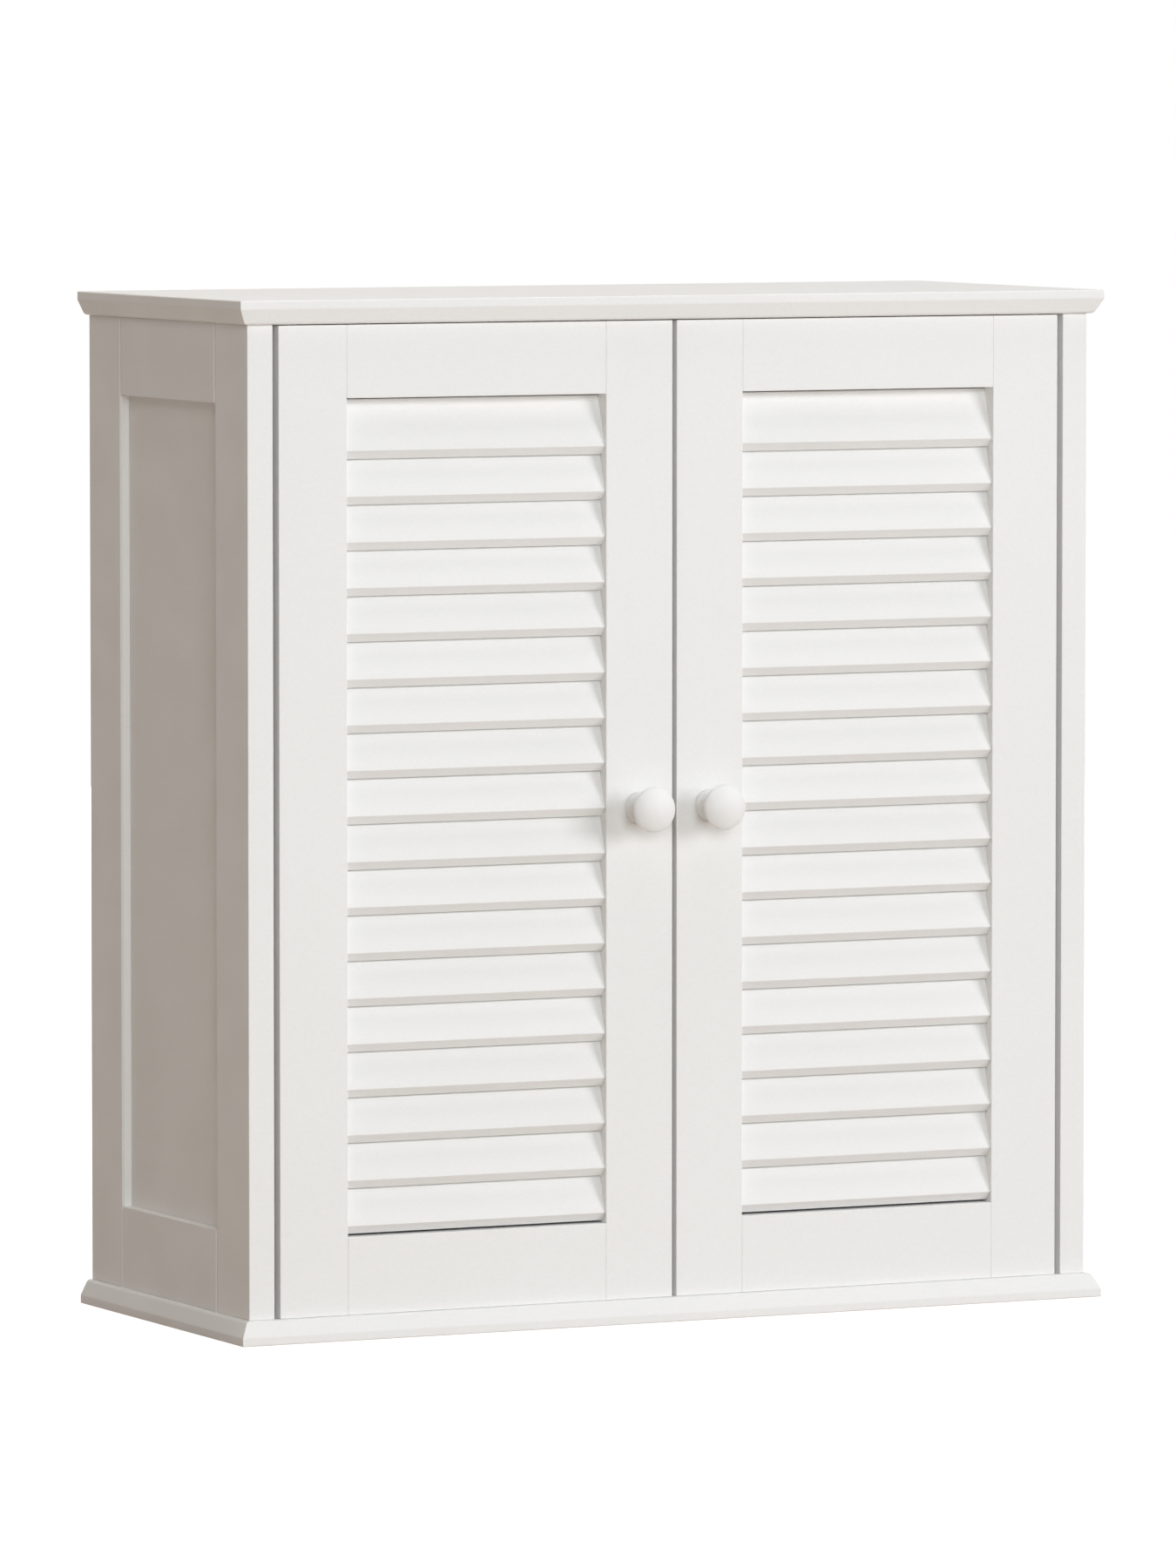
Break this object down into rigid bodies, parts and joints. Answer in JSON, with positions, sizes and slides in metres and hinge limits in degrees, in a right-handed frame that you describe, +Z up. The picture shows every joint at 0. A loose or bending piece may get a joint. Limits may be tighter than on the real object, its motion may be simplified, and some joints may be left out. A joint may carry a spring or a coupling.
{
  "type": "louvred door cabinet",
  "caption": "White painted wall or table cabinet with inset louvred doors on concealed pivots, framed sides, chamfered top and bottom boards and round knobs.",
  "frame": {"origin": "middle of the bottom board's underside", "axes": "+X to the right seen from the front, +Y to the back towards the wall, +Z up"},
  "size_m": [0.56, 0.2543, 0.6],
  "materials": {
    "white_paint": "satin white paint on fibreboard",
    "knob_paint": "semi-gloss white paint on turned wood",
    "back_board": "white faced hardboard",
    "beech_dowel": "bare beech",
    "zinc_steel": "zinc plated",
    "nickel_steel": "nickel plated",
    "cast_zinc": "die-cast zinc",
    "white_nylon": "moulded nylon",
    "magnet": "pressed ferrite"
  },
  "bodies": {
    "cabinet": {"left_side_front_stile": "white_paint", "left_side_rear_stile": "white_paint", "left_side_top_rail": "white_paint", "left_side_bottom_rail": "white_paint", "left_side_panel": "white_paint", "right_side_front_stile": "white_paint", "right_side_rear_stile": "white_paint", "right_side_top_rail": "white_paint", "right_side_bottom_rail": "white_paint", "right_side_panel": "white_paint", "top_board": "white_paint", "bottom_board": "white_paint", "back_panel": "back_board", "hanging_rail": "white_paint", "shelf": "white_paint", "shelf_pins": "nickel_steel", "side_dowels": "beech_dowel", "rail_dowels": "beech_dowel", "cam_bolts": "zinc_steel", "cam_discs": "cast_zinc", "back_screws": "zinc_steel", "pivot_bushes": "white_nylon", "catch_housings": "white_nylon", "catch_magnets": "magnet", "catch_screws": "zinc_steel"},
    "left_door": {"left_hinge_stile": "white_paint", "left_knob_stile": "white_paint", "left_door_top_rail": "white_paint", "left_door_bottom_rail": "white_paint", "left_door_slats": "white_paint", "left_door_dowels": "beech_dowel", "left_pivot_pins": "nickel_steel", "left_knob": "knob_paint", "left_knob_screw": "zinc_steel", "left_strike_plate": "nickel_steel", "left_strike_screw": "zinc_steel"},
    "right_door": {"right_hinge_stile": "white_paint", "right_knob_stile": "white_paint", "right_door_top_rail": "white_paint", "right_door_bottom_rail": "white_paint", "right_door_slats": "white_paint", "right_door_dowels": "beech_dowel", "right_pivot_pins": "nickel_steel", "right_knob": "knob_paint", "right_knob_screw": "zinc_steel", "right_strike_plate": "nickel_steel", "right_strike_screw": "zinc_steel"}
  },
  "joints": [
    {"name": "left_door_hinge", "type": "hinge", "parent": "cabinet", "child": "left_door", "pos_m": [-0.2424, -0.101, 0.3], "axis": [0, 0, -1], "range_deg": [0, 110]},
    {"name": "right_door_hinge", "type": "hinge", "parent": "cabinet", "child": "right_door", "pos_m": [0.2424, -0.101, 0.3], "axis": [0, 0, 1], "range_deg": [0, 110]}
  ]
}
